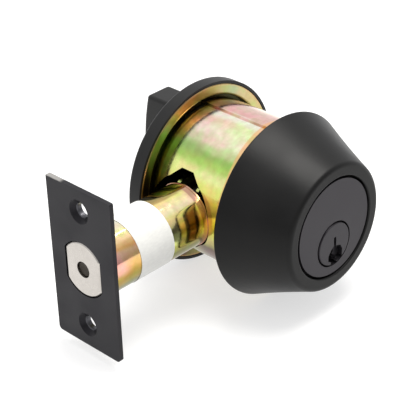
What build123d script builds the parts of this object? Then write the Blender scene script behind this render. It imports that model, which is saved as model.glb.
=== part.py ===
"""Single-cylinder deadbolt door lock: tubular bolt, keyed cylinder and thumbturn.

Frame, in millimetres: the origin is where the lock axis (Y) crosses the bolt axis (X).
-Y is the keyed outside of the door, +Y the thumbturn side, the bolt throws towards -X, +Z is up.
The bolt is modelled drawn back, with its face flush with the faceplate.
"""
from build123d import *
import math
import os

# Door preparation and standard sizes
BACKSET = 69.85  # lock axis to the front of the faceplate
THROW = 25.4
FACEPLATE_WIDTH = 28.575
FACEPLATE_HEIGHT = 57.15
FACEPLATE_SCREW_SPACING = 41.3
OUTSIDE_DOOR_FACE = -19.0
INSIDE_DOOR_FACE = 14.09
DRIVE_Z = -6.06  # plug, tailpiece, cam and thumbturn all turn about this line
THROUGH_BOLT_Z = 20.0

# Faceplate and backplate
FACEPLATE_THICKNESS = 1.5
BACKPLATE_THICKNESS = 1.9
BACKPLATE_WIDTH = 23.9
BACKPLATE_HEIGHT = 53.0
FACE_SCREW_RADIUS = 2.4
COUNTERSINK_RADIUS = 4.15
COUNTERSINK_DEPTH = 1.75  # runs on a little way into the backplate

# Bolt
BOLT_RADIUS = 9.3
BOLT_FLAT = 7.5  # half the distance across the two vertical flats
BOLT_LENGTH = 32.85
BOLT_ROUND_GAP = 0.35
BOLT_FLAT_GAP = 0.55
HARDENED_PIN_RADIUS = 2.8
HARDENED_PIN_RECESS = 0.5
HARDENED_PIN_LENGTH = 23.0
TAIL_HALF_THICKNESS = 1.2
TAIL_LOW = -1.4
TAIL_HIGH = 6.6
TAIL_REAR = 17.1
FORK_FRONT = 8.3
FORK_TOP = 12.4
TAIL_INSERT = 7.0  # how far the tail reaches into the back of the bolt head
TAIL_PIN_RADIUS = 1.25
TAIL_PIN_SETBACK = 3.4
TAIL_PIN_Z = (TAIL_LOW + TAIL_HIGH) / 2

# Bolt tube and sleeve
TUBE_RADIUS = 11.0
TUBE_BORE = 10.0
TUBE_REAR = -25.3
SLEEVE_RADIUS = 9.9
SLEEVE_BORE = 8.7
SLEEVE_FRONT = -36.0
SLEEVE_REAR = -24.6
BUSH_FRONT = -30.5
LABEL_FRONT = -55.4
LABEL_REAR = -41.2
LABEL_THICKNESS = 0.15
LABEL_GAP = 1.0
TUBE_BEAD = 0.15
TUBE_BEAD_LENGTH = 0.6

# Tail housing
SIDE_PLATE_INNER = 3.6
SIDE_PLATE_OUTER = 4.8
SIDE_PLATE_LOW = -11.6
SIDE_PLATE_HIGH = 10.0
SIDE_PLATE_FRONT = -24.2
SIDE_PLATE_REAR = 18.6
TONGUE_HALF_HEIGHT = 6.4
TONGUE_FRONT = -29.5
SPACER_X = 14.6
SPACER_Z = -8.4
SPACER_RADIUS = 1.7
RIVET_RADIUS = 0.9

# Cam and drive
CAM_TIP_X = THROW / 2  # the arm leans 45 degrees, so a quarter turn moves the bolt by its throw
CAM_TIP_Z = DRIVE_Z + THROW / 2
CAM_HUB_RADIUS = 4.2
CAM_SHOULDER_RADIUS = 5.6
CAM_INNER = 1.6
CAM_OUTER = 3.2
CAM_ARM_HALF_WIDTH = 2.3
CAM_PIN_RADIUS = 1.1
CAM_JOURNAL_END = SIDE_PLATE_OUTER + 0.7
FORK_SLOT_HALF = 1.84  # pin radius plus the difference between the arc and an even slide
FORK_SLOT_FLOOR = 4.3
BLADE_WIDTH = 5.6
BLADE_THICKNESS = 1.8
BLADE_SLOT_GAP = 0.1
RUNNING_GAP = 0.06

# Keyed cylinder
CYLINDER_FACE = -41.9
CYLINDER_HEAD_RADIUS = 16.9
CYLINDER_HEAD_REAR = -37.5
CYLINDER_BARREL_RADIUS = 15.3
CYLINDER_FLANGE_RADIUS = 24.5
CYLINDER_FLANGE_FRONT = -17.8
CYLINDER_FLANGE_REAR = -14.8
POST_RADIUS = 4.0
POST_REAR = -6.0
PLUG_RADIUS = 6.35
PLUG_FACE_RADIUS = 7.45
PLUG_FACE = -42.15
PLUG_SHOULDER = -39.2
PLUG_REAR = -14.75
PLUG_GROOVE_RADIUS = 8.05
THROUGH_BOLT_RADIUS = 2.4
THROUGH_BOLT_HEAD = 4.1
KEYWAY_REAR = -18.4
KEY_PIN_BOTTOM = DRIVE_Z - 1.2
DRIVER_LENGTH = 5.0
RETAINER_RADIUS = 7.0
RETAINER_THICKNESS = 1.2
RETAINER_HOLE = 3.3
RETAINER_SCREW_X = 5.3
RETAINER_SCREW_RADIUS = 0.55
RETAINER_SCREW_HEAD = 1.15
TAIL_HEAD_RADIUS = 4.0
TAIL_HEAD_FRONT = -16.2
TAIL_HEAD_REAR = -15.0
TAILPIECE_END = 20.85
CHAMBER_COUNT = 5
CHAMBER_FIRST = -35.0
CHAMBER_PITCH = 3.9
CHAMBER_RADIUS = 1.5
PIN_RADIUS = 1.4
SHEAR_LINE = DRIVE_Z + PLUG_RADIUS
CHAMBER_TOP = 12.6
COVER_THICKNESS = 1.0
COVER_HALF_WIDTH = 2.2
SPRING_WIRE = 0.2
SPRING_RADIUS = 1.1
SPRING_TURNS = 6

# Outside collar
COLLAR_BASE_RADIUS = 31.75
COLLAR_RIM_RADIUS = 21.9
COLLAR_FRONT = -42.2
COLLAR_HOLE_RADIUS = 17.75
COLLAR_LEDGE_RADIUS = 15.6
COLLAR_RECESS_RADIUS = 31.25
COLLAR_RECESS_DEPTH = 1.2
COLLAR_HOLLOW_REAR_RADIUS = 26.4
COLLAR_HOLLOW_FRONT_RADIUS = 20.6
COLLAR_PLATE_HOLE = 29.0

# Sleeve in the cross bore
RING_RADIUS = 25.9
RING_WALL = 1.0
RING_LAP = 0.6  # the lapped edge stands this far above the edge under it
RING_REAR = 16.1
RING_FLANGE_RADIUS = 27.3
RING_FLANGE_FRONT = OUTSIDE_DOOR_FACE - COLLAR_RECESS_DEPTH
NOTCH_RADIUS = 12.7
NOTCH_CENTRE_Y = 1.5

# Inside plate, rose and thumbturn
PLATE_RADIUS = 31.3
PLATE_CUP_RADIUS = 27.4
PLATE_THICKNESS = 1.2
PLATE_CUP_FLOOR = 16.1
PLATE_LIP_ROUND = 0.9
PLATE_RIM_ROUND = 0.35
ROSE_RADIUS = 32.36
ROSE_CAVITY_RADIUS = 31.4
ROSE_SHOULDER = 19.15
ROSE_FACE = 21.45
ROSE_FLAT_RADIUS = 26.0
ROSE_WALL = 1.4
ROSE_ROUND = 1.0
SPINDLE_RADIUS = 5.0
SPINDLE_START = 11.5
SPINDLE_END = 23.85
CLIP_GROOVE_RADIUS = 4.2
CLIP_RADIUS = 7.0
CLIP_OPENING = 4.8
CLIP_LOW = 18.5
CLIP_HIGH = 19.3
WASHER_RADIUS = 8.2
TURN_HUB_RADIUS = 8.0
TURN_HUB_LENGTH = 3.0
TURN_HALF_THICKNESS = 5.3
TURN_TOP = 23.6
TURN_BOTTOM = -20.0
TURN_INNER = 21.75
TURN_END = 36.9
TURN_OUTER = 39.7
TURN_ROUND = 1.3


def y_rod(radius, y_low, y_high, x=0.0, z=0.0):
    """Solid cylinder along Y."""
    return Pos(x, (y_low + y_high) / 2, z) * Rot(90, 0, 0) * Cylinder(radius, y_high - y_low)


def x_rod(radius, x_low, x_high, y=0.0, z=0.0):
    """Solid cylinder along X."""
    return Pos((x_low + x_high) / 2, y, z) * Rot(0, 90, 0) * Cylinder(radius, x_high - x_low)


def z_rod(radius, z_low, z_high, x=0.0, y=0.0):
    """Solid cylinder along Z."""
    return Pos(x, y, (z_low + z_high) / 2) * Cylinder(radius, z_high - z_low)


def block(x_span, y_span, z_span):
    """Box between two corners, given as a span on each axis."""
    centre = [(low + high) / 2 for low, high in (x_span, y_span, z_span)]
    size = [high - low for low, high in (x_span, y_span, z_span)]
    return Pos(*centre) * Box(*size)


def turned(outline):
    """Revolve a closed outline of edges, drawn as (radius, y), about the lock axis."""
    return revolve(make_face(outline), axis=Axis.Y, revolution_arc=360)


def turned_polygon(points):
    """Revolve a closed polygon of (radius, y) points about the lock axis."""
    return turned(Polyline(*points, close=True))


def xz_plate(points, y_low, y_high):
    """Plate whose outline is a closed polygon of (x, z) points, between two Y stations."""
    face = make_face(Polyline(*[(x, 0, z) for x, z in points], close=True))
    return Pos(0, y_low, 0) * extrude(face, amount=y_high - y_low, dir=(0, 1, 0))


def circles(shape, radius, y):
    """Full circles of a turned shape, found by their radius and their place along the lock axis."""
    near = 0.01
    return shape.edges().filter_by(GeomType.CIRCLE).filter_by(
        lambda edge: abs(edge.radius - radius) < near and abs(edge.arc_center.Y - y) < near
    )


def mirrored_in_z(shape):
    """The shape together with its copy below the bolt axis."""
    return shape + mirror(shape, about=Plane.XY)


# ---- Outside: collar and keyed cylinder -------------------------------------------------

def cylinder_collar():
    """Hollow tapered guard: a slightly waisted cone with a rounded front rim."""
    waist = 0.15
    middle_radius = (COLLAR_BASE_RADIUS + COLLAR_RIM_RADIUS) / 2 - waist
    middle_y = (OUTSIDE_DOOR_FACE + COLLAR_FRONT) / 2
    rim_round = 1.8
    hole_round = 0.5
    base_round = 0.25
    base_land = 0.5
    outer = Polyline((COLLAR_HOLE_RADIUS, COLLAR_FRONT), (COLLAR_RIM_RADIUS, COLLAR_FRONT))
    cone = ThreePointArc(
        (COLLAR_RIM_RADIUS, COLLAR_FRONT),
        (middle_radius, middle_y),
        (COLLAR_BASE_RADIUS, OUTSIDE_DOOR_FACE - base_land),
    )
    ledge_front = CYLINDER_HEAD_REAR
    ledge_rear = ledge_front + 2.0
    inside = Polyline(
        (COLLAR_BASE_RADIUS, OUTSIDE_DOOR_FACE - base_land),
        (COLLAR_BASE_RADIUS, OUTSIDE_DOOR_FACE),
        (COLLAR_RECESS_RADIUS, OUTSIDE_DOOR_FACE),
        (COLLAR_RECESS_RADIUS, OUTSIDE_DOOR_FACE - COLLAR_RECESS_DEPTH),
        (COLLAR_HOLLOW_REAR_RADIUS, OUTSIDE_DOOR_FACE - COLLAR_RECESS_DEPTH),
        (COLLAR_HOLLOW_FRONT_RADIUS, ledge_rear),
        (COLLAR_LEDGE_RADIUS, ledge_rear),
        (COLLAR_LEDGE_RADIUS, ledge_front),
        (COLLAR_HOLE_RADIUS, ledge_front),
        (COLLAR_HOLE_RADIUS, COLLAR_FRONT),
    )
    collar = turned(outer + cone + inside)
    collar = fillet(circles(collar, COLLAR_RIM_RADIUS, COLLAR_FRONT), rim_round)
    collar = fillet(circles(collar, COLLAR_HOLE_RADIUS, COLLAR_FRONT), hole_round)
    return fillet(circles(collar, COLLAR_BASE_RADIUS, OUTSIDE_DOOR_FACE), base_round)


def collar_plate():
    """Plated ring in the back of the collar, flush with its rim, round the sleeve's flange."""
    plate = y_rod(COLLAR_RECESS_RADIUS, OUTSIDE_DOOR_FACE - COLLAR_RECESS_DEPTH, OUTSIDE_DOOR_FACE)
    return plate - y_rod(COLLAR_PLATE_HOLE, OUTSIDE_DOOR_FACE - COLLAR_RECESS_DEPTH, OUTSIDE_DOOR_FACE)


def chamber_stations():
    """Y position of each pin chamber, front to back."""
    return [CHAMBER_FIRST + CHAMBER_PITCH * i for i in range(CHAMBER_COUNT)]


def cylinder_body():
    """Cylinder housing: head, barrel, rear flange and two threaded posts."""
    body = y_rod(CYLINDER_HEAD_RADIUS, CYLINDER_FACE, CYLINDER_HEAD_REAR)
    body += y_rod(CYLINDER_BARREL_RADIUS, CYLINDER_HEAD_REAR, CYLINDER_FLANGE_FRONT)
    body += y_rod(CYLINDER_FLANGE_RADIUS, CYLINDER_FLANGE_FRONT, CYLINDER_FLANGE_REAR)
    for z in (-THROUGH_BOLT_Z, THROUGH_BOLT_Z):
        body += y_rod(POST_RADIUS, CYLINDER_FLANGE_REAR, POST_REAR, z=z)
    body -= y_rod(PLUG_RADIUS + RUNNING_GAP, CYLINDER_FACE, CYLINDER_FLANGE_REAR, z=DRIVE_Z)
    body -= y_rod(PLUG_GROOVE_RADIUS, CYLINDER_FACE, PLUG_SHOULDER + 0.1, z=DRIVE_Z)
    for y in chamber_stations():
        body -= z_rod(CHAMBER_RADIUS, DRIVE_Z, CHAMBER_TOP, y=y)
    slot_half = COVER_HALF_WIDTH
    body -= block(
        (-slot_half, slot_half),
        (CYLINDER_HEAD_REAR, CYLINDER_FLANGE_FRONT),
        (CHAMBER_TOP, CYLINDER_BARREL_RADIUS),
    )
    for z in (-THROUGH_BOLT_Z, THROUGH_BOLT_Z):
        body -= y_rod(THROUGH_BOLT_RADIUS, CYLINDER_FLANGE_REAR - 1.0, POST_REAR, z=z)
    return body


def keyway_outline():
    """Cross-section of the key slot as (x, z) points: a narrow top and a wider, stepped bottom."""
    return [
        (-0.2, -3.6),
        (0.9, -3.6),
        (0.9, -7.2),
        (1.7, -8.4),
        (1.7, -10.4),
        (0.9, -11.2),
        (1.5, -14.4),
        (-1.6, -14.4),
        (-1.6, -12.2),
        (-2.9, -11.6),
        (-2.9, -9.6),
        (-1.4, -7.6),
        (-0.2, -6.8),
    ]


def keyway_recess_outline():
    """Shallow sunk patch beside the key slot as (x, z) points."""
    return [
        (1.0, -7.0),
        (3.0, -7.6),
        (4.0, -9.4),
        (3.9, -12.6),
        (1.0, -13.0),
    ]


def key_plug():
    """Turning plug with its face flange, keyway, pin holes and tailpiece pocket."""
    plug = y_rod(PLUG_RADIUS, PLUG_FACE, PLUG_REAR, z=DRIVE_Z)
    plug += y_rod(PLUG_FACE_RADIUS, PLUG_FACE, PLUG_SHOULDER, z=DRIVE_Z)
    plug = plug.fillet(0.35, [plug.edges().sort_by(Axis.Y)[0]])
    plug -= xz_plate(keyway_outline(), PLUG_FACE - 1.0, KEYWAY_REAR)
    recess_depth = 2.0
    plug -= xz_plate(keyway_recess_outline(), PLUG_FACE - 1.0, PLUG_FACE + recess_depth)
    for y in chamber_stations():
        plug -= z_rod(CHAMBER_RADIUS, KEY_PIN_BOTTOM, SHEAR_LINE + 1.0, y=y)
    plug -= y_rod(TAIL_HEAD_RADIUS + 0.3, TAIL_HEAD_FRONT - 0.2, PLUG_REAR, z=DRIVE_Z)
    for x in (-RETAINER_SCREW_X, RETAINER_SCREW_X):
        plug -= y_rod(RETAINER_SCREW_RADIUS, PLUG_REAR - 3.0, PLUG_REAR, x=x, z=DRIVE_Z)
    return plug


def key_pins():
    """Bottom pins, each with a rounded nose, lifted to the shear line as by the key."""
    pins = []
    for y in chamber_stations():
        tip = KEY_PIN_BOTTOM + 0.1
        pin = z_rod(PIN_RADIUS, tip + 1.2, SHEAR_LINE - 0.22, y=y)
        pin += Pos(0, y, tip + 0.6) * Cone(0.5, PIN_RADIUS, 1.2)
        pins.append(pin)
    return pins


def driver_pins():
    """Top pins, resting on the shear line inside the cylinder body."""
    low = SHEAR_LINE + 0.1
    return [z_rod(PIN_RADIUS, low, low + DRIVER_LENGTH, y=y) for y in chamber_stations()]


def pin_springs():
    """One coil spring above each driver pin."""
    low = SHEAR_LINE + 0.1 + DRIVER_LENGTH + SPRING_WIRE
    high = CHAMBER_TOP - SPRING_WIRE
    springs = []
    for y in chamber_stations():
        pitch = (high - low) / SPRING_TURNS
        path = Helix(pitch=pitch, height=high - low, radius=SPRING_RADIUS)
        section = Plane(origin=path @ 0, z_dir=path % 0) * Circle(SPRING_WIRE)
        springs.append(Pos(0, y, low) * sweep(section, path=path))
    return springs


def pin_chamber_cover():
    """Strip pressed over the pin chambers."""
    return block(
        (-COVER_HALF_WIDTH, COVER_HALF_WIDTH),
        (CYLINDER_HEAD_REAR, CYLINDER_FLANGE_FRONT),
        (CHAMBER_TOP, CHAMBER_TOP + COVER_THICKNESS),
    )


def plug_retainer():
    """Washer on the back of the plug that keeps the plug and the tailpiece in."""
    retainer = y_rod(RETAINER_RADIUS, PLUG_REAR, PLUG_REAR + RETAINER_THICKNESS, z=DRIVE_Z)
    retainer -= y_rod(RETAINER_HOLE, PLUG_REAR, PLUG_REAR + RETAINER_THICKNESS, z=DRIVE_Z)
    for x in (-RETAINER_SCREW_X, RETAINER_SCREW_X):
        retainer -= y_rod(RETAINER_SCREW_RADIUS, PLUG_REAR, PLUG_REAR + RETAINER_THICKNESS, x=x, z=DRIVE_Z)
    return retainer


def retainer_screws():
    """Two small screws through the retainer into the plug."""
    screws = []
    head_low = PLUG_REAR + RETAINER_THICKNESS
    head_high = head_low + 0.8
    for x in (-RETAINER_SCREW_X, RETAINER_SCREW_X):
        screw = y_rod(RETAINER_SCREW_RADIUS, PLUG_REAR - 2.8, head_low, x=x, z=DRIVE_Z)
        screw += y_rod(RETAINER_SCREW_HEAD, head_low, head_high, x=x, z=DRIVE_Z)
        screw -= block((x - 0.15, x + 0.15), (head_high - 0.35, head_high), (DRIVE_Z - 2.0, DRIVE_Z + 2.0))
        screws.append(screw)
    return screws


def tailpiece():
    """Flat blade with a round head, from the plug through the cam to the thumbturn spindle."""
    blade = block(
        (-BLADE_THICKNESS / 2, BLADE_THICKNESS / 2),
        (TAIL_HEAD_REAR, TAILPIECE_END),
        (DRIVE_Z - BLADE_WIDTH / 2, DRIVE_Z + BLADE_WIDTH / 2),
    )
    return blade + y_rod(TAIL_HEAD_RADIUS, TAIL_HEAD_FRONT, TAIL_HEAD_REAR, z=DRIVE_Z)


# ---- Sleeve in the cross bore -----------------------------------------------------------

def notch_cutter():
    """Arched opening that lets the bolt tube and tail housing into the sleeve."""
    reach = RING_RADIUS + 6.0
    arch = x_rod(NOTCH_RADIUS, -reach, -10.0, y=NOTCH_CENTRE_Y)
    peak = [
        (NOTCH_CENTRE_Y - 9.0, 0.0),
        (NOTCH_CENTRE_Y - 7.7, 9.8),
        (NOTCH_CENTRE_Y - 2.5, 14.2),
        (NOTCH_CENTRE_Y + 2.7, 14.2),
        (NOTCH_CENTRE_Y + 8.2, 9.4),
        (NOTCH_CENTRE_Y + 9.0, 0.0),
    ]
    face = make_face(Polyline(*[(-reach, y, z) for y, z in peak], close=True))
    roof = extrude(face, amount=reach - 10.0, dir=(1, 0, 0))
    return arch + mirrored_in_z(roof)


def ring_half(radius, z, side):
    """Half of a rod as long as the sleeve; side is -1 or 1 along X."""
    rod = y_rod(radius, RING_FLANGE_FRONT, RING_REAR, z=z)
    reach = 2 * RING_RADIUS
    span_x = tuple(sorted((0.0, side * reach)))
    return rod & block(span_x, (RING_FLANGE_FRONT, RING_REAR), (-reach, reach))


def bore_ring():
    """Rolled sleeve with a front flange, a lap joint along its top and a notch for the bolt."""
    rise = RING_LAP / 2
    ring = ring_half(RING_RADIUS, 0.0, -1) + ring_half(RING_RADIUS + rise, rise, 1)
    ring += y_rod(RING_FLANGE_RADIUS, RING_FLANGE_FRONT, OUTSIDE_DOOR_FACE)
    ring -= ring_half(RING_RADIUS - RING_WALL, 0.0, -1)
    ring -= ring_half(RING_RADIUS + rise - RING_WALL, rise, 1)
    return ring - notch_cutter()


# ---- Bolt assembly ----------------------------------------------------------------------

def face_screw_heights():
    """Z of the two faceplate screws."""
    return (-FACEPLATE_SCREW_SPACING / 2, FACEPLATE_SCREW_SPACING / 2)


def bolt_section(radius, flat, x_low, x_high):
    """Round section with two vertical flats."""
    section = x_rod(radius, x_low, x_high)
    return section & block((x_low, x_high), (-flat, flat), (-radius, radius))


def bolt_opening(x_low, x_high):
    """Opening for the bolt in the faceplate and the backplate."""
    return bolt_section(BOLT_RADIUS + BOLT_ROUND_GAP, BOLT_FLAT + BOLT_FLAT_GAP, x_low, x_high)


def screw_hole(z):
    """Countersunk screw hole through the faceplate and the backplate."""
    front = -BACKSET
    hole = x_rod(FACE_SCREW_RADIUS, front, front + FACEPLATE_THICKNESS + BACKPLATE_THICKNESS, z=z)
    sink = Cone(COUNTERSINK_RADIUS, FACE_SCREW_RADIUS, COUNTERSINK_DEPTH)
    return hole + Pos(front + COUNTERSINK_DEPTH / 2, 0, z) * Rot(0, 90, 0) * sink


def rounded_plate(x_low, x_high, width, height, top_round, bottom_round):
    """Flat plate across the bolt axis with its own corner radii at top and bottom."""
    plate = block((x_low, x_high), (-width / 2, width / 2), (-height / 2, height / 2))
    corners = plate.edges().filter_by(Axis.X)
    plate = fillet(corners.filter_by(lambda edge: edge.center().Z > 0), top_round)
    corners = plate.edges().filter_by(Axis.X).filter_by(lambda edge: edge.center().Z < -height / 2 + 0.1)
    return fillet(corners, bottom_round)


def faceplate():
    """Visible plate in the door's edge, countersunk for two screws."""
    front = -BACKSET
    rear = front + FACEPLATE_THICKNESS
    plate = rounded_plate(front, rear, FACEPLATE_WIDTH, FACEPLATE_HEIGHT, 0.5, 1.4)
    plate -= bolt_opening(front, rear)
    for z in face_screw_heights():
        plate -= screw_hole(z)
    return plate


def backplate():
    """Smaller plate behind the faceplate that carries the tube."""
    front = -BACKSET + FACEPLATE_THICKNESS
    rear = front + BACKPLATE_THICKNESS
    plate = rounded_plate(front, rear, BACKPLATE_WIDTH, BACKPLATE_HEIGHT, 2.0, 2.0)
    plate -= bolt_opening(front, rear)
    for z in face_screw_heights():
        plate -= screw_hole(z)
    return plate


def deadbolt():
    """Bolt head with a hardened pin hole in front and a slot for its tail behind."""
    front = -BACKSET
    rear = front + BOLT_LENGTH
    head = bolt_section(BOLT_RADIUS, BOLT_FLAT, front, rear)
    head = chamfer(head.faces().sort_by(Axis.X)[0].edges(), 0.35)
    head -= x_rod(HARDENED_PIN_RADIUS, front, front + HARDENED_PIN_LENGTH)
    slot = TAIL_HALF_THICKNESS + 0.2
    head -= block((rear - TAIL_INSERT - 0.3, rear), (-slot, slot), (TAIL_LOW - 0.3, TAIL_HIGH + 0.3))
    head -= y_rod(TAIL_PIN_RADIUS, -BOLT_FLAT, BOLT_FLAT, x=rear - TAIL_PIN_SETBACK, z=TAIL_PIN_Z)
    return head


def hardened_pin():
    """Loose steel roller that turns under a saw blade."""
    front = -BACKSET + HARDENED_PIN_RECESS
    pin = x_rod(HARDENED_PIN_RADIUS - 0.05, front, -BACKSET + HARDENED_PIN_LENGTH - 0.2)
    return chamfer(pin.faces().sort_by(Axis.X)[0].edges(), 0.4)


def tail_pin():
    """Cross pin that joins the tail to the bolt head."""
    x = -BACKSET + BOLT_LENGTH - TAIL_PIN_SETBACK
    return y_rod(TAIL_PIN_RADIUS, -BOLT_FLAT + 0.2, BOLT_FLAT - 0.2, x=x, z=TAIL_PIN_Z)


def bolt_tail():
    """Flat bar from the bolt head over the cam hub to an open fork round the cam pin."""
    front = -BACKSET + BOLT_LENGTH - TAIL_INSERT
    thick = (-TAIL_HALF_THICKNESS, TAIL_HALF_THICKNESS)
    bar = block((front, TAIL_REAR), thick, (TAIL_LOW, TAIL_HIGH))
    fork = block((FORK_FRONT, TAIL_REAR), thick, (0.0, FORK_TOP))
    corners = fork.edges().filter_by(Axis.Y).filter_by(lambda edge: edge.center().Z > FORK_TOP - 0.1)
    tail = bar + fillet(corners, 1.2)
    slot = (CAM_TIP_X - FORK_SLOT_HALF, CAM_TIP_X + FORK_SLOT_HALF)
    tail -= block(slot, thick, (FORK_SLOT_FLOOR, FORK_TOP))
    x = -BACKSET + BOLT_LENGTH - TAIL_PIN_SETBACK
    return tail - y_rod(TAIL_PIN_RADIUS, *thick, x=x, z=TAIL_PIN_Z)


def bolt_tube():
    """Tube round the bolt, with a low bead rolled at its rear end."""
    front = -BACKSET + FACEPLATE_THICKNESS + BACKPLATE_THICKNESS
    tube = x_rod(TUBE_RADIUS, front, TUBE_REAR)
    tube += x_rod(TUBE_RADIUS + TUBE_BEAD, TUBE_REAR - TUBE_BEAD_LENGTH, TUBE_REAR)
    return tube - x_rod(TUBE_BORE, front, TUBE_REAR)


def tube_sleeve():
    """Inner sleeve that carries the tail housing and slides in the tube."""
    sleeve = x_rod(SLEEVE_RADIUS, SLEEVE_FRONT, SLEEVE_REAR)
    return sleeve - x_rod(SLEEVE_BORE, SLEEVE_FRONT, SLEEVE_REAR)


def bolt_label():
    """Blank paper band round the tube, with a narrow gap where its ends meet."""
    band = x_rod(TUBE_RADIUS + LABEL_THICKNESS, LABEL_FRONT, LABEL_REAR)
    band -= x_rod(TUBE_RADIUS, LABEL_FRONT, LABEL_REAR)
    gap = block((LABEL_FRONT, LABEL_REAR), (0.0, LABEL_GAP), (-2 * TUBE_RADIUS, 0.0))
    return band - gap


# ---- Tail housing -----------------------------------------------------------------------

def side_plate(side):
    """One wall of the tail housing; side is -1 for the outside wall, 1 for the inside wall."""
    low, high = sorted((side * SIDE_PLATE_INNER, side * SIDE_PLATE_OUTER))
    thick = (low, high)
    small_round = 2.4
    large_round = 5.0
    wall = block((SIDE_PLATE_FRONT, SIDE_PLATE_REAR), thick, (SIDE_PLATE_LOW, SIDE_PLATE_HIGH))
    corners = wall.edges().filter_by(Axis.Y).sort_by(lambda edge: edge.center().X + edge.center().Z)
    wall = fillet(corners[1:], small_round)
    corners = wall.edges().filter_by(Axis.Y).sort_by(lambda edge: edge.center().X + edge.center().Z)
    wall = fillet(corners[:1], large_round)
    tongue_x = (TONGUE_FRONT, SIDE_PLATE_FRONT + large_round)
    wall += block(tongue_x, thick, (-TONGUE_HALF_HEIGHT, TONGUE_HALF_HEIGHT))
    wall -= y_rod(CAM_HUB_RADIUS + RUNNING_GAP, low, high, z=DRIVE_Z)
    for x in (-SPACER_X, SPACER_X):
        wall -= y_rod(RIVET_RADIUS, low, high, x=x, z=SPACER_Z)
    return wall


def housing_spacers():
    """Riveted spacers that hold the two walls apart."""
    spacers = []
    for x in (-SPACER_X, SPACER_X):
        spacer = y_rod(SPACER_RADIUS, -SIDE_PLATE_INNER, SIDE_PLATE_INNER, x=x, z=SPACER_Z)
        spacer += y_rod(RIVET_RADIUS, -SIDE_PLATE_OUTER, SIDE_PLATE_OUTER, x=x, z=SPACER_Z)
        for side in (-1, 1):
            low, high = sorted((side * SIDE_PLATE_OUTER, side * (SIDE_PLATE_OUTER + 0.6)))
            spacer += y_rod(RIVET_RADIUS + 0.6, low, high, x=x, z=SPACER_Z)
        spacers.append(spacer)
    return spacers


def rear_bush():
    """Plug in the sleeve that guides the tail and grips the housing walls."""
    bush = x_rod(SLEEVE_BORE, BUSH_FRONT, SLEEVE_REAR)
    slot = TAIL_HALF_THICKNESS + 0.15
    bush -= block((BUSH_FRONT, SLEEVE_REAR), (-slot, slot), (TAIL_LOW - 0.15, TAIL_HIGH + 0.15))
    for side in (-1, 1):
        low, high = sorted((side * SIDE_PLATE_INNER, side * SIDE_PLATE_OUTER))
        bush -= block((TONGUE_FRONT, SLEEVE_REAR), (low, high), (-TONGUE_HALF_HEIGHT, TONGUE_HALF_HEIGHT))
    return bush


def bolt_cam():
    """Hub with a blade slot and two arms that carry the drive pin either side of the tail."""
    across = CAM_ARM_HALF_WIDTH / math.sqrt(2)
    cam = y_rod(CAM_HUB_RADIUS, -CAM_JOURNAL_END, CAM_JOURNAL_END, z=DRIVE_Z)
    for side in (-1, 1):
        low, high = sorted((side * CAM_INNER, side * CAM_OUTER))
        cheek = y_rod(CAM_SHOULDER_RADIUS, low, high, z=DRIVE_Z)
        cheek += y_rod(CAM_ARM_HALF_WIDTH, low, high, x=CAM_TIP_X, z=CAM_TIP_Z)
        arm = [
            (-across, DRIVE_Z + across),
            (CAM_TIP_X - across, CAM_TIP_Z + across),
            (CAM_TIP_X + across, CAM_TIP_Z - across),
            (across, DRIVE_Z - across),
        ]
        cheek += xz_plate(arm, low, high)
        cam += cheek
        cam -= y_rod(CAM_PIN_RADIUS, low, high, x=CAM_TIP_X, z=CAM_TIP_Z)
    half_thick = BLADE_THICKNESS / 2 + BLADE_SLOT_GAP
    half_wide = BLADE_WIDTH / 2 + BLADE_SLOT_GAP
    slot_z = (DRIVE_Z - half_wide, DRIVE_Z + half_wide)
    return cam - block((-half_thick, half_thick), (-CAM_JOURNAL_END, CAM_JOURNAL_END), slot_z)


def cam_pin():
    """Drive pin across the two arms of the cam."""
    return y_rod(CAM_PIN_RADIUS, -CAM_OUTER, CAM_OUTER, x=CAM_TIP_X, z=CAM_TIP_Z)


# ---- Inside: plate, rose and thumbturn --------------------------------------------------

def mounting_plate():
    """Round plate against the door with a shallow cup that seats the end of the sleeve."""
    points = [
        (0.0, PLATE_CUP_FLOOR),
        (PLATE_CUP_RADIUS, PLATE_CUP_FLOOR),
        (PLATE_CUP_RADIUS, INSIDE_DOOR_FACE),
        (PLATE_RADIUS, INSIDE_DOOR_FACE),
        (PLATE_RADIUS, INSIDE_DOOR_FACE + PLATE_THICKNESS),
        (PLATE_CUP_RADIUS + PLATE_THICKNESS, INSIDE_DOOR_FACE + PLATE_THICKNESS),
        (PLATE_CUP_RADIUS + PLATE_THICKNESS, PLATE_CUP_FLOOR + PLATE_THICKNESS),
        (0.0, PLATE_CUP_FLOOR + PLATE_THICKNESS),
    ]
    plate = turned_polygon(points)
    plate = fillet(circles(plate, PLATE_CUP_RADIUS, INSIDE_DOOR_FACE), PLATE_LIP_ROUND)
    plate = fillet(circles(plate, PLATE_RADIUS, INSIDE_DOOR_FACE), PLATE_RIM_ROUND)
    high = PLATE_CUP_FLOOR + PLATE_THICKNESS
    plate -= y_rod(SPINDLE_RADIUS + 1.2, PLATE_CUP_FLOOR, high, z=DRIVE_Z)
    for z in (-THROUGH_BOLT_Z, THROUGH_BOLT_Z):
        plate -= y_rod(THROUGH_BOLT_RADIUS + 0.2, PLATE_CUP_FLOOR, high, z=z)
    return plate


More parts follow.
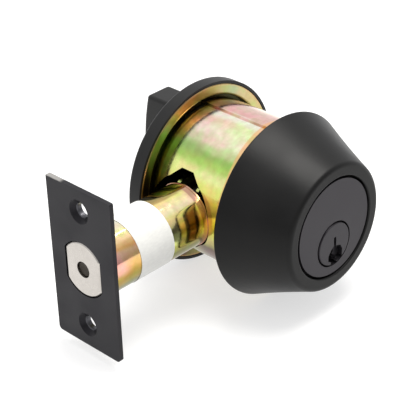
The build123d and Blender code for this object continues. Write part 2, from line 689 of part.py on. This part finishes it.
def through_bolts():
    """Two machine screws from the inside plate into the cylinder's posts."""
    head_low = PLATE_CUP_FLOOR + PLATE_THICKNESS
    head_high = head_low + 2.2
    cross_low = head_high - 1.3
    cross_half_length = 2.2
    cross_half_width = 0.45
    bolts = []
    for z in (-THROUGH_BOLT_Z, THROUGH_BOLT_Z):
        bolt = y_rod(THROUGH_BOLT_RADIUS, CYLINDER_FLANGE_REAR - 0.6, head_low, z=z)
        head = y_rod(THROUGH_BOLT_HEAD, head_low, head_high, z=z)
        bolt += fillet(head.edges().sort_by(Axis.Y)[-1:], 0.9)
        for half_x, half_z in ((cross_half_length, cross_half_width), (cross_half_width, cross_half_length)):
            bolt -= block((-half_x, half_x), (cross_low, head_high), (z - half_z, z + half_z))
        bolts.append(bolt)
    return bolts


def rose():
    """Dished cover over the inside plate, with a flat face for the thumbturn."""
    outer_face = ROSE_FACE
    inner_face = ROSE_FACE - ROSE_WALL
    points = [
        (0.0, outer_face),
        (ROSE_FLAT_RADIUS, outer_face),
        (ROSE_RADIUS, ROSE_SHOULDER),
        (ROSE_RADIUS, INSIDE_DOOR_FACE),
        (ROSE_CAVITY_RADIUS, INSIDE_DOOR_FACE),
        (ROSE_CAVITY_RADIUS, ROSE_SHOULDER - 1.2),
        (ROSE_FLAT_RADIUS, inner_face),
        (0.0, inner_face),
    ]
    cover = turned_polygon(points)
    cover = fillet(circles(cover, ROSE_RADIUS, ROSE_SHOULDER), ROSE_ROUND)
    return cover - y_rod(SPINDLE_RADIUS + RUNNING_GAP, inner_face, outer_face, z=DRIVE_Z)


def thumbturn_spindle():
    """Round shaft with a slot for the tailpiece and a groove for its clip."""
    shaft = y_rod(SPINDLE_RADIUS, SPINDLE_START, SPINDLE_END, z=DRIVE_Z)
    groove = y_rod(SPINDLE_RADIUS, CLIP_LOW, CLIP_HIGH, z=DRIVE_Z)
    groove -= y_rod(CLIP_GROOVE_RADIUS, CLIP_LOW, CLIP_HIGH, z=DRIVE_Z)
    half_thick = BLADE_THICKNESS / 2 + BLADE_SLOT_GAP
    half_wide = BLADE_WIDTH / 2 + BLADE_SLOT_GAP
    slot_z = (DRIVE_Z - half_wide, DRIVE_Z + half_wide)
    slot = block((-half_thick, half_thick), (SPINDLE_START, TAILPIECE_END + 1.0), slot_z)
    return shaft - groove - slot


def spring_washer():
    """Washer that rubs on the rose, so that the thumbturn stays where it is put."""
    high = ROSE_FACE - ROSE_WALL - 0.05
    washer = y_rod(WASHER_RADIUS, CLIP_HIGH, high, z=DRIVE_Z)
    return washer - y_rod(SPINDLE_RADIUS, CLIP_HIGH, high, z=DRIVE_Z)


def retaining_clip():
    """Open clip in the spindle's groove."""
    clip = y_rod(CLIP_RADIUS, CLIP_LOW, CLIP_HIGH, z=DRIVE_Z)
    clip -= y_rod(CLIP_GROOVE_RADIUS, CLIP_LOW, CLIP_HIGH, z=DRIVE_Z)
    half = CLIP_OPENING / 2
    return clip - block((-half, half), (CLIP_LOW, CLIP_HIGH), (DRIVE_Z - CLIP_RADIUS, DRIVE_Z))


def thumbturn():
    """Upright grip with a crowned outer edge, pressed on the spindle."""
    middle_z = (TURN_TOP + TURN_BOTTOM) / 2
    base = Polyline(
        (TURN_END, TURN_BOTTOM),
        (TURN_INNER, TURN_BOTTOM),
        (TURN_INNER, TURN_TOP),
        (TURN_END, TURN_TOP),
    )
    crown = ThreePointArc((TURN_END, TURN_TOP), (TURN_OUTER, middle_z), (TURN_END, TURN_BOTTOM))
    face = Plane.YZ * make_face(base + crown)
    grip = extrude(face, amount=TURN_HALF_THICKNESS, both=True)
    outer_edges = grip.edges().filter_by(lambda edge: edge.center().Y > TURN_INNER + TURN_ROUND)
    grip = fillet(outer_edges, TURN_ROUND)
    grip += y_rod(TURN_HUB_RADIUS, TURN_INNER, TURN_INNER + TURN_HUB_LENGTH, z=DRIVE_Z)
    return grip - y_rod(SPINDLE_RADIUS, TURN_INNER, SPINDLE_END, z=DRIVE_Z)


def main():
    """Write every sub-part as one STEP file."""
    nodes = {
        "cylinder_collar": cylinder_collar(),
        "collar_plate": collar_plate(),
        "cylinder_body": cylinder_body(),
        "key_plug": key_plug(),
        "key_pins": key_pins(),
        "driver_pins": driver_pins(),
        "pin_springs": pin_springs(),
        "pin_chamber_cover": pin_chamber_cover(),
        "plug_retainer": plug_retainer(),
        "retainer_screws": retainer_screws(),
        "tailpiece": tailpiece(),
        "bore_ring": bore_ring(),
        "faceplate": faceplate(),
        "backplate": backplate(),
        "deadbolt": deadbolt(),
        "hardened_pin": hardened_pin(),
        "tail_pin": tail_pin(),
        "bolt_tail": bolt_tail(),
        "bolt_tube": bolt_tube(),
        "tube_sleeve": tube_sleeve(),
        "bolt_label": bolt_label(),
        "side_plate_outside": side_plate(-1),
        "side_plate_inside": side_plate(1),
        "housing_spacers": housing_spacers(),
        "rear_bush": rear_bush(),
        "bolt_cam": bolt_cam(),
        "cam_pin": cam_pin(),
        "mounting_plate": mounting_plate(),
        "through_bolts": through_bolts(),
        "rose": rose(),
        "thumbturn_spindle": thumbturn_spindle(),
        "spring_washer": spring_washer(),
        "retaining_clip": retaining_clip(),
        "thumbturn": thumbturn(),
    }
    os.makedirs("parts", exist_ok=True)
    for name, shape in nodes.items():
        if isinstance(shape, list):
            shape = Compound(children=shape)
        export_step(shape, f"parts/{name}.step")


main()
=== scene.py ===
import math
import bpy
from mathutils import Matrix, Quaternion, Vector


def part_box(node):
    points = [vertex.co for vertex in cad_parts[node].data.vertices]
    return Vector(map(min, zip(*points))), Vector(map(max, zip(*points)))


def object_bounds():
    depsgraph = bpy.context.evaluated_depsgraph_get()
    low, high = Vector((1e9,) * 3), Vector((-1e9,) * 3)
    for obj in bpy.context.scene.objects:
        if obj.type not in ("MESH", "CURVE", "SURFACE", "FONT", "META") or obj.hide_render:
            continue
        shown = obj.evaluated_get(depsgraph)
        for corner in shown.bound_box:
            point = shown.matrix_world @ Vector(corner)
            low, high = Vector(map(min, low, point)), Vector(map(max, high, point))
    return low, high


# Looks of the deadbolt door lock: materials, studio and camera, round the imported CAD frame.
# Everything is in metres, in the frame of the CAD.

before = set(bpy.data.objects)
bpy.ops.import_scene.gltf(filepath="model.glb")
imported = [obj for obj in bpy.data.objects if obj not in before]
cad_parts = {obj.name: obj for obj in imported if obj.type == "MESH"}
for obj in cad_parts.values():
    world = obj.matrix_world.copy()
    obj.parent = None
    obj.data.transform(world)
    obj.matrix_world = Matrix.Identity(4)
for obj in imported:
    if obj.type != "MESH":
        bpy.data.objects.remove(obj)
cad_low, cad_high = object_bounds()

MM = 0.001
FLOOR_Z = cad_low.z
FACEPLATE_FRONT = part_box("faceplate")[0].x
FACEPLATE_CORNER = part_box("faceplate")[1]
LABEL_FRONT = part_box("bolt_label")[0].x
LABEL_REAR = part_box("bolt_label")[1].x
TUBE_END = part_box("bolt_tube")[1].x
COLLAR_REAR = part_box("cylinder_collar")[1].y
RING_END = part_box("bore_ring")[1].y
PLATE_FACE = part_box("mounting_plate")[0].y
PLATE_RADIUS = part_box("mounting_plate")[1].x


# ---- Node material helper ---------------------------------------------------------------

class Shader:
    """One node material with a Principled shader and short calls to add nodes."""

    # A Mix node has one set of sockets for each kind of data, so its colours go by number.
    FIRST_COLOUR_INPUT = 6
    SECOND_COLOUR_INPUT = 7
    COLOUR_OUTPUT = 2

    def __init__(self, name, roughness, metallic=0.0):
        self.material = bpy.data.materials.new(name)
        self.material.use_nodes = True
        self.tree = self.material.node_tree
        self.surface = self.tree.nodes["Principled BSDF"]
        self.surface.inputs["Roughness"].default_value = roughness
        self.surface.inputs["Metallic"].default_value = metallic
        self.place = self.tree.nodes.new("ShaderNodeTexCoord").outputs["Object"]

    def node(self, kind, inputs=None, **settings):
        made = self.tree.nodes.new(kind)
        for key, value in settings.items():
            setattr(made, key, value)
        for key, value in (inputs or {}).items():
            self.feed(value, made.inputs[key])
        return made

    def feed(self, value, socket):
        """Link another node's output, or set a plain value."""
        if isinstance(value, bpy.types.NodeSocket):
            self.tree.links.new(value, socket)
        else:
            socket.default_value = value

    def set(self, name, value):
        """Feed an input of the Principled shader."""
        self.feed(value, self.surface.inputs[name])

    def math(self, operation, a, b):
        made = self.node("ShaderNodeMath", operation=operation)
        self.feed(a, made.inputs[0])
        self.feed(b, made.inputs[1])
        return made.outputs[0]

    def product(self, *values):
        result = values[0]
        for value in values[1:]:
            result = self.math("MULTIPLY", result, value)
        return result

    def noise(self, scale, detail=3.0, stretch=(1.0, 1.0, 1.0), shift=(0.0, 0.0, 0.0)):
        mapping = self.node("ShaderNodeMapping", {
            "Vector": self.place, "Scale": stretch, "Location": shift,
        })
        made = self.node("ShaderNodeTexNoise", {
            "Vector": mapping.outputs[0], "Scale": scale, "Detail": detail,
        })
        return made.outputs["Fac"]

    def ramp(self, value, stops, interpolation="LINEAR"):
        """Colours along a value, as (place, (red, green, blue)) stops."""
        made = self.node("ShaderNodeValToRGB", {"Fac": value})
        made.color_ramp.interpolation = interpolation
        elements = made.color_ramp.elements
        while len(elements) < len(stops):
            elements.new(1.0)
        for element, (position, colour) in zip(elements, stops):
            element.position = position
            element.color = opaque(colour)
        return made.outputs["Color"]

    def span(self, value, start, end, low=0.0, high=1.0, smooth=True):
        """Value mapped so that start gives low and end gives high, and held outside."""
        made = self.node("ShaderNodeMapRange", {
            "Value": value, "From Min": start, "From Max": end, "To Min": low, "To Max": high,
        })
        made.interpolation_type = "SMOOTHSTEP" if smooth else "LINEAR"
        return made.outputs["Result"]

    def mix(self, factor, a, b, blend="MIX"):
        made = self.node("ShaderNodeMix", data_type="RGBA", blend_type=blend)
        self.feed(factor, made.inputs["Factor"])
        self.feed(a, made.inputs[self.FIRST_COLOUR_INPUT])
        self.feed(b, made.inputs[self.SECOND_COLOUR_INPUT])
        return made.outputs[self.COLOUR_OUTPUT]

    def multiply(self, a, b):
        return self.mix(1.0, a, b, "MULTIPLY")

    def tinge(self, colour, mask, strength, tint):
        """Colour, with a plain tint laid over it where the mask is 1."""
        return self.mix(self.product(mask, strength), colour, opaque(tint))

    def axis(self, name):
        """One coordinate of the point, in metres."""
        made = self.node("ShaderNodeSeparateXYZ", {"Vector": self.place})
        return made.outputs[name]

    def turn(self, across):
        """Angle of the point in degrees, in the plane of Z and across: 0 on top, 90 at minus across."""
        minus = self.product(self.axis(across), -1.0)
        return self.product(self.math("ARCTAN2", minus, self.axis("Z")), 180 / math.pi)

    def wandering(self, value, amount, scale, stretch=(1.0, 1.0, 1.0)):
        """A coordinate that drifts by a soft noise, so that bands have uneven edges."""
        drift = self.math("SUBTRACT", self.noise(scale, stretch=stretch), 0.5)
        return self.math("ADD", value, self.product(drift, amount))

    def bands(self, turn, stops):
        """Colours round an axis, at angles from -180 to 180 degrees."""
        fitted = [((angle + 180) / 360, colour) for angle, colour in stops]
        return self.ramp(self.span(turn, -180.0, 180.0, smooth=False), fitted, "EASE")

    def bump(self, height, strength, distance):
        made = self.node("ShaderNodeBump", {"Height": height, "Strength": strength, "Distance": distance})
        self.set("Normal", made.outputs["Normal"])


def opaque(colour):
    return (*colour, 1.0)


# ---- Black coats ------------------------------------------------------------------------

def black_coat(name, level, gloss, tint=(1.0, 1.0, 1.0), roughness=0.42, patchy=0.05):
    """Satin black powder coat: slight orange peel, patchy sheen and a fine dust in the bump."""
    shader = Shader(name, roughness)
    cloud = shader.noise(60.0, detail=4.0)
    low = tuple(level * 0.8 * part for part in tint)
    high = tuple(level * 1.25 * part for part in tint)
    shader.set("Base Color", shader.ramp(cloud, [(0.3, low), (0.7, high)]))
    shader.set("Roughness", shader.span(cloud, 0.3, 0.7, roughness - patchy, roughness + patchy))
    shader.set("Specular Tint", opaque(part / max(tint) for part in tint))
    shader.set("Specular IOR Level", gloss)
    dust = shader.noise(2600.0, detail=2.0)
    peel = shader.noise(900.0)
    height = shader.math("ADD", peel, shader.product(dust, 0.35))
    shader.bump(height, strength=0.25, distance=0.04 * MM)
    return shader


def chipped_coat(name, level, gloss, tint, roughness, patchy):
    """Black coat with bare metal showing at one top corner of the plate."""
    shader = black_coat(name, level, gloss, tint, roughness, patchy)
    edge = shader.wandering(shader.axis("Z"), amount=0.6 * MM, scale=500.0)
    along = shader.wandering(shader.axis("Y"), amount=3.0 * MM, scale=300.0)
    top = FACEPLATE_CORNER.z
    side = FACEPLATE_CORNER.y
    bare = shader.product(
        shader.span(edge, top - 0.5 * MM, top - 0.1 * MM),
        shader.span(along, side - 7.5 * MM, side - 5.5 * MM),
    )
    coat = shader.surface.inputs["Base Color"].links[0].from_socket
    shader.set("Base Color", shader.tinge(coat, bare, 1.0, (0.34, 0.33, 0.31)))
    shader.set("Metallic", shader.product(bare, 0.7))
    return shader


# ---- Yellow chromated zinc --------------------------------------------------------------

# Each table of bands holds (angle in degrees, (red, green, blue)).
# Colours round the sleeve's axis, at its inside end and at its collar end. 0 is the lap joint on
# top, and 90 the middle of the notch for the bolt.
RING_INSIDE_BANDS_AND_HIGHLIGHT = [
    (-180, (0.70, 0.66, 0.40)), (-110, (0.62, 0.60, 0.22)), (-60, (0.70, 0.66, 0.44)),
    # painted highlight: the pale cream stops at 1 and 5 degrees stand for a highlight beside the lap joint
    (-30, (0.80, 0.56, 0.46)), (-2, (0.84, 0.47, 0.44)), (1, (0.97, 0.78, 0.70)),
    (5, (0.98, 0.90, 0.82)), (12, (0.93, 0.62, 0.54)), (22, (0.94, 0.80, 0.68)),
    (31, (0.72, 0.68, 0.46)), (40, (0.36, 0.52, 0.18)), (47, (0.44, 0.62, 0.16)),
    (55, (0.90, 0.90, 0.36)), (75, (0.92, 0.80, 0.20)), (95, (0.80, 0.50, 0.16)),
    (125, (0.56, 0.62, 0.18)), (150, (0.86, 0.50, 0.42)), (180, (0.70, 0.66, 0.40)),
]
RING_COLLAR_BANDS_HIGHLIGHT_AND_SHADE = [
    (-180, (0.66, 0.70, 0.42)), (-90, (0.74, 0.50, 0.20)), (-50, (0.74, 0.74, 0.46)),
    (-28, (0.80, 0.70, 0.54)), (-12, (0.82, 0.50, 0.46)), (-1, (0.80, 0.50, 0.44)),
    # painted highlight: the pale cream stops at 2 and 5 degrees stand for a highlight beside the lap joint
    (2, (0.96, 0.92, 0.84)), (5, (0.94, 0.94, 0.76)), (10, (0.84, 0.92, 0.50)),
    (18, (0.86, 0.95, 0.56)), (27, (0.94, 0.90, 0.66)), (36, (0.62, 0.74, 0.36)),
    (42, (0.36, 0.56, 0.15)), (48, (0.48, 0.68, 0.17)), (56, (0.86, 0.92, 0.40)),
    (66, (0.90, 0.84, 0.24)), (90, (0.80, 0.66, 0.10)), (106, (0.62, 0.60, 0.22)),
    # painted shade: the dark browns at 116 and 140 degrees stand for shade under the bolt tube
    (116, (0.20, 0.125, 0.09)), (140, (0.20, 0.13, 0.095)), (180, (0.66, 0.70, 0.42)),
]
# Colours round the tube's axis, behind the label and by the faceplate. 0 is on top, and 90 on
# the collar's side.
TUBE_REAR_BANDS = [
    (-180, (0.40, 0.32, 0.12)), (-120, (0.60, 0.46, 0.16)), (-60, (0.50, 0.38, 0.12)),
    (-20, (0.36, 0.30, 0.11)), (0, (0.42, 0.34, 0.12)), (8, (0.56, 0.44, 0.16)),
    (14, (0.97, 0.86, 0.34)), (22, (1.0, 0.80, 0.46)), (36, (1.0, 0.80, 0.56)),
    (46, (0.98, 0.86, 0.36)), (58, (0.90, 0.80, 0.38)), (80, (0.88, 0.84, 0.38)),
    (96, (0.66, 0.60, 0.18)), (112, (0.30, 0.29, 0.10)), (145, (0.40, 0.30, 0.12)),
    (180, (0.40, 0.32, 0.12)),
]
TUBE_FRONT_BANDS = [
    (-180, (0.45, 0.40, 0.20)), (-100, (0.55, 0.46, 0.16)), (-40, (0.60, 0.60, 0.36)),
    (0, (0.90, 0.86, 0.74)), (12, (0.95, 0.88, 0.62)), (22, (0.98, 0.86, 0.42)),
    (36, (1.0, 0.80, 0.42)), (44, (0.86, 0.56, 0.26)), (50, (0.86, 0.46, 0.19)),
    (58, (0.90, 0.54, 0.36)), (68, (0.88, 0.54, 0.28)), (78, (0.80, 0.50, 0.19)),
    (92, (0.56, 0.36, 0.09)), (108, (0.40, 0.30, 0.07)), (125, (0.26, 0.27, 0.12)),
    (180, (0.45, 0.40, 0.20)),
]
# Colours round the inside plate, on its face and on the floor of its cup. 0 is on top, and 90 on
# the bolt's side.
PLATE_FACE_BANDS_AND_SHADE = [
    (-180, (0.40, 0.42, 0.14)), (-110, (0.64, 0.44, 0.14)), (-55, (0.56, 0.50, 0.22)),
    (-36, (0.54, 0.50, 0.25)), (-27, (0.42, 0.47, 0.28)), (-18, (0.46, 0.44, 0.20)),
    (-8, (0.44, 0.34, 0.12)), (6, (0.45, 0.33, 0.10)), (14, (0.46, 0.28, 0.06)),
    (24, (0.62, 0.36, 0.09)), (32, (0.50, 0.46, 0.12)), (40, (0.55, 0.74, 0.27)),
    # painted shade: the near-black stops from 62 to 150 degrees stand for shade under the bolt tube
    (52, (0.30, 0.44, 0.12)), (62, (0.17, 0.26, 0.08)), (80, (0.10, 0.07, 0.02)),
    (120, (0.12, 0.10, 0.04)), (150, (0.16, 0.10, 0.07)), (180, (0.40, 0.42, 0.14)),
]
# painted shade: the cup is coloured near black for the shade in the groove round the sleeve's end, with dim
# greens from 38 to 56 degrees
CUP_PAINTED_SHADE = (0.02, 0.018, 0.006)
CUP_PAINTED_SHADE_BANDS = [
    (-180, CUP_PAINTED_SHADE), (26, CUP_PAINTED_SHADE), (38, (0.09, 0.13, 0.03)), (56, (0.15, 0.22, 0.05)),
    (70, (0.06, 0.06, 0.02)), (90, CUP_PAINTED_SHADE), (180, CUP_PAINTED_SHADE),
]


def zinc_coat(name, colour, roughness):
    """Bright plating coloured by a function of place, with a fine mottle and a soft sheen."""
    shader = Shader(name, roughness, metallic=1.0)
    fine = shader.noise(420.0, detail=4.0)
    tone = shader.ramp(fine, [(0.32, (0.86, 0.84, 0.80)), (0.68, (1.0, 1.0, 1.0))])
    spots = shader.noise(260.0, detail=4.0, shift=(0.3, 0.1, 0.2))
    mottle = shader.ramp(spots, [(0.38, (0.88, 1.0, 0.86)), (0.62, (1.0, 0.90, 0.97))])
    shader.set("Base Color", shader.multiply(shader.multiply(colour(shader), mottle), tone))
    shader.set("Roughness", shader.span(fine, 0.35, 0.65, roughness - 0.02, roughness + 0.04))
    shader.bump(shader.noise(700.0), strength=0.1, distance=0.03 * MM)
    return shader


def ring_colour(shader):
    """Sleeve: pink by the lap joint, then pale green, pink, green and yellow towards the bolt; a painted
    highlight beside the lap joint, painted shade under the bolt tube, by the collar and at the seated end,
    and a painted reflection line along the collar.
    """
    turn = shader.wandering(shader.turn("X"), amount=9.0, scale=90.0, stretch=(1.0, 0.7, 1.0))
    depth = shader.axis("Y")
    along = shader.wandering(depth, amount=6.0 * MM, scale=80.0)
    inside_end = shader.bands(turn, RING_INSIDE_BANDS_AND_HIGHLIGHT)
    collar_end = shader.bands(turn, RING_COLLAR_BANDS_HIGHLIGHT_AND_SHADE)
    colour = shader.mix(shader.span(along, 5.0 * MM, -7.0 * MM), inside_end, collar_end)

    pink_patch = shader.product(
        shader.span(turn, 24.0, 29.0),
        shader.span(turn, 36.0, 31.0),
        shader.span(along, 4.0 * MM, 0.0),
        shader.span(along, -9.0 * MM, -4.0 * MM),
    )
    colour = shader.tinge(colour, pink_patch, 0.75, (0.92, 0.66, 0.58))

    # painted reflection: a thin orange line along the collar's edge stands for a reflection at that edge
    line_start = COLLAR_REAR + 7.0 * MM
    line_end = COLLAR_REAR + 4.3 * MM
    edge = shader.span(turn, 0.0, 50.0, line_start, line_end, smooth=False)
    painted_reflection_line = shader.span(shader.math("SUBTRACT", depth, edge), 0.9 * MM, 0.1 * MM)
    colour = shader.tinge(colour, painted_reflection_line, 0.8, (0.90, 0.54, 0.24))

    # painted shade: the sleeve is browned next to the collar, where it lies in the collar's shade
    painted_shade_by_collar = shader.span(depth, COLLAR_REAR + 4.0 * MM, COLLAR_REAR + 1.8 * MM)
    colour = shader.tinge(colour, painted_shade_by_collar, 0.92, (0.42, 0.26, 0.11))

    # painted shade: the sleeve's end by the plate is darkened to olive for the shade in the groove
    painted_shade_at_seated_end = shader.span(along, PLATE_FACE - 4.59 * MM, PLATE_FACE - 1.59 * MM)
    return shader.tinge(colour, painted_shade_at_seated_end, 0.6, (0.38, 0.35, 0.12))


def tube_colour(shader):
    """Tube: cream and pink on top, gold at the side, orange by the faceplate, olive underneath."""
    turn = shader.wandering(shader.turn("Y"), amount=14.0, scale=120.0, stretch=(0.5, 1.0, 1.0))
    along = shader.axis("X")
    rear = shader.bands(turn, TUBE_REAR_BANDS)
    front = shader.bands(turn, TUBE_FRONT_BANDS)

    blush = shader.product(
        shader.span(turn, 48.0, 60.0),
        shader.span(turn, 100.0, 86.0),
        shader.span(along, FACEPLATE_FRONT + 11.35 * MM, FACEPLATE_FRONT + 6.35 * MM),
    )
    front = shader.tinge(front, blush, 0.75, (0.94, 0.50, 0.46))
    under_label = shader.span(along, LABEL_FRONT + 2.4 * MM, LABEL_REAR - 3.8 * MM)
    colour = shader.mix(under_label, front, rear)

    pink_end = shader.span(along, TUBE_END - 5.7 * MM, TUBE_END - 1.2 * MM)
    colour = shader.tinge(colour, pink_end, 0.5, (0.86, 0.52, 0.40))
    last_band = shader.span(along, TUBE_END - 2.9 * MM, TUBE_END - 2.3 * MM)
    return shader.tinge(colour, last_band, 0.9, (0.60, 0.34, 0.26))


def plate_colour(shader):
    """Inside plate: cream by the top, orange and green down the bolt side, dark in the cup; the near-black
    bolt side under the tube, the brown lip and the dark cup are painted shade.
    """
    turn = shader.wandering(shader.turn("X"), amount=14.0, scale=60.0)
    face = shader.bands(turn, PLATE_FACE_BANDS_AND_SHADE)
    squares = [shader.math("POWER", shader.axis(name), 2.0) for name in ("X", "Z")]
    radius = shader.math("POWER", shader.math("ADD", *squares), 0.5)

    rim = shader.span(radius, PLATE_RADIUS - 0.9 * MM, PLATE_RADIUS - 0.3 * MM)
    colour = shader.tinge(face, rim, 0.6, (0.62, 0.40, 0.20))
    # painted shade: the lip round the cup is browned for the shade on its rounded edge
    painted_shade_lip = shader.span(radius, PLATE_RADIUS - 2.9 * MM, PLATE_RADIUS - 3.6 * MM)
    colour = shader.tinge(colour, painted_shade_lip, 0.6, (0.26, 0.22, 0.07))
    # painted shade: the cup takes the near-black cup bands for the shade in the groove
    cup = shader.span(shader.axis("Y"), RING_END - 0.7 * MM, RING_END - 0.2 * MM)
    return shader.mix(shader.product(cup, 0.95), colour, shader.bands(turn, CUP_PAINTED_SHADE_BANDS))


def pale_zinc_colour(shader):
    """Pale yellow with a few greener clouds."""
    return shader.ramp(shader.noise(90.0), [(0.35, (0.98, 0.95, 0.80)), (0.65, (0.90, 0.93, 0.66))])


def small_zinc_colour(shader):
    """Mixed golds and greens for small plated parts."""
    return shader.ramp(shader.noise(120.0), [
        (0.30, (0.70, 0.46, 0.20)), (0.45, (0.80, 0.72, 0.30)),
        (0.60, (0.50, 0.60, 0.20)), (0.75, (0.84, 0.78, 0.50)),
    ])


# ---- Plain metals and paper -------------------------------------------------------------

def satin_metal(name, colour, roughness):
    """Machined or tumbled metal: fine grain and faint clouds."""
    shader = Shader(name, roughness, metallic=1.0)
    grain = shader.noise(500.0)
    cloud = shader.noise(90.0)
    dark = tuple(part * 0.86 for part in colour)
    shader.set("Base Color", shader.mix(cloud, opaque(dark), opaque(colour)))
    shader.set("Roughness", shader.span(grain, 0.3, 0.7, roughness * 0.8, roughness * 1.25))
    shader.bump(grain, strength=0.2, distance=0.03 * MM)
    return shader


def label_paper():
    """Matt white paper with faint fibre."""
    shader = Shader("label_paper", 0.62)
    fibre = shader.noise(1500.0, detail=4.0, stretch=(0.4, 1.0, 1.0))
    shader.set("Base Color", shader.ramp(fibre, [(0.3, (0.63, 0.63, 0.61)), (0.7, (0.69, 0.69, 0.665))]))
    shader.bump(fibre, strength=0.15, distance=0.04 * MM)
    return shader


def dress(shader, *names):
    """Put one material on CAD nodes."""
    for name in names:
        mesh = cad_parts[name].data
        mesh.materials.clear()
        mesh.materials.append(shader.material)


def dress_everything():
    """Every CAD node gets its material."""
    dress(black_coat("collar_black", level=0.006, gloss=0.16, roughness=0.40), "cylinder_collar")
    dress(black_coat("rose_black", level=0.008, gloss=0.23), "rose", "thumbturn")
    cylinder = black_coat("cylinder_black", level=0.014, gloss=0.29, tint=(1.02, 0.95, 1.08), roughness=0.40)
    dress(cylinder, "cylinder_body", "key_plug")
    dress(chipped_coat("faceplate_black", level=0.008, gloss=0.225, tint=(0.99, 0.96, 1.08),
                       roughness=0.45, patchy=0.09), "faceplate")

    dress(zinc_coat("ring_zinc_and_painted_light", ring_colour, roughness=0.14), "bore_ring")
    dress(zinc_coat("tube_zinc", tube_colour, roughness=0.09), "bolt_tube")
    dress(zinc_coat("plate_zinc_and_painted_shade", plate_colour, roughness=0.30), "mounting_plate")
    dress(zinc_coat("collar_plate_zinc", pale_zinc_colour, roughness=0.32), "collar_plate")
    dress(zinc_coat("small_zinc", small_zinc_colour, roughness=0.2),
          "tube_sleeve", "through_bolts", "side_plate_outside", "side_plate_inside")

    dress(satin_metal("backplate_steel", (0.10, 0.10, 0.11), roughness=0.4), "backplate")
    dress(satin_metal("bolt_nickel", (0.54, 0.51, 0.475), roughness=0.32), "deadbolt")
    dress(satin_metal("pin_dark", (0.036, 0.030, 0.023), roughness=0.4), "hardened_pin")
    dress(satin_metal("plain_steel", (0.56, 0.55, 0.53), roughness=0.34),
          "tail_pin", "bolt_tail", "bolt_cam", "cam_pin", "housing_spacers", "rear_bush",
          "tailpiece", "plug_retainer", "retainer_screws", "thumbturn_spindle")
    dress(satin_metal("spring_steel", (0.42, 0.42, 0.44), roughness=0.28),
          "pin_springs", "spring_washer", "retaining_clip")
    dress(satin_metal("brass", (0.80, 0.60, 0.28), roughness=0.3),
          "key_pins", "driver_pins", "pin_chamber_cover")
    dress(label_paper(), "bolt_label")


# ---- Studio -----------------------------------------------------------------------------

def make_floor():
    """Plain pale floor under the lock."""
    half = 1.5
    around = [(-half, -half), (half, -half), (half, half), (-half, half)]
    corners = [(x, y, FLOOR_Z) for x, y in around]
    mesh = bpy.data.meshes.new("floor")
    mesh.from_pydata(corners, [], [(0, 1, 2, 3)])
    floor = bpy.data.objects.new("floor", mesh)
    bpy.context.scene.collection.objects.link(floor)
    shader = Shader("floor_white", 0.9)
    cloud = shader.noise(3.0, detail=2.0)
    shader.set("Base Color", shader.ramp(cloud, [(0.0, (0.41, 0.41, 0.41)), (1.0, (0.43, 0.43, 0.43))]))
    shader.set("Emission Color", (1.0, 1.0, 1.0, 1.0))
    shader.set("Emission Strength", 0.62)
    mesh.materials.append(shader.material)


def make_surround():
    """White surround, brightest above and on the thumbturn's side, dimmest towards the key side."""
    world = bpy.data.worlds.new("studio")
    bpy.context.scene.world = world
    world.use_nodes = True
    nodes = world.node_tree.nodes
    links = world.node_tree.links
    place = nodes.new("ShaderNodeTexCoord")
    lean = nodes.new("ShaderNodeVectorMath")
    lean.operation = "DOT_PRODUCT"
    lean.inputs[1].default_value = (0.22, 0.74, 0.5)
    links.new(place.outputs["Generated"], lean.inputs[0])
    level = nodes.new("ShaderNodeMapRange")
    level.interpolation_type = "SMOOTHSTEP"
    level.inputs["From Min"].default_value = -0.7
    level.inputs["From Max"].default_value = 0.5
    level.inputs["To Min"].default_value = 0.42
    level.inputs["To Max"].default_value = 1.06
    links.new(lean.outputs["Value"], level.inputs["Value"])
    background = nodes["Background"]
    background.inputs["Color"].default_value = (0.99, 0.99, 1.0, 1.0)
    links.new(level.outputs["Result"], background.inputs["Strength"])


def make_top_box():
    """Soft overhead box, aimed at the lock."""
    light = bpy.data.lights.new("top_box", "AREA")
    light.shape = "RECTANGLE"
    light.size = 0.46
    light.size_y = 0.45
    light.energy = 7.0
    light.color = (1.0, 0.98, 0.94)
    box = bpy.data.objects.new("top_box", light)
    box.location = (0.11, -0.07, 0.74)
    box.rotation_mode = "QUATERNION"
    box.rotation_quaternion = (-Vector(box.location)).to_track_quat("-Z", "Y")
    bpy.context.scene.collection.objects.link(box)


def make_camera():
    """Camera at the viewing angle of the reference, a little above and to the bolt's side."""
    azimuth = math.radians(-44.956)
    elevation = math.radians(30.42)
    roll = math.radians(-1.9)
    target = Vector((18.54, 36.77, -28.46)) * MM
    distance = 536.85 * MM
    back = Vector((
        math.sin(azimuth) * math.cos(elevation),
        -math.cos(azimuth) * math.cos(elevation),
        math.sin(elevation),
    ))
    data = bpy.data.cameras.new("camera")
    data.sensor_width = 36.0
    data.lens = 130.67
    data.clip_start = 0.01
    data.clip_end = 10.0
    camera = bpy.data.objects.new("camera", data)
    camera.rotation_mode = "QUATERNION"
    camera.location = target + back * distance
    camera.rotation_quaternion = (-back).to_track_quat("-Z", "Y") @ Quaternion((0.0, 0.0, 1.0), roll)
    bpy.context.scene.collection.objects.link(camera)
    bpy.context.scene.camera = camera


make_camera()
dress_everything()
make_floor()
make_surround()
make_top_box()
bpy.context.scene.view_settings.view_transform = "Standard"
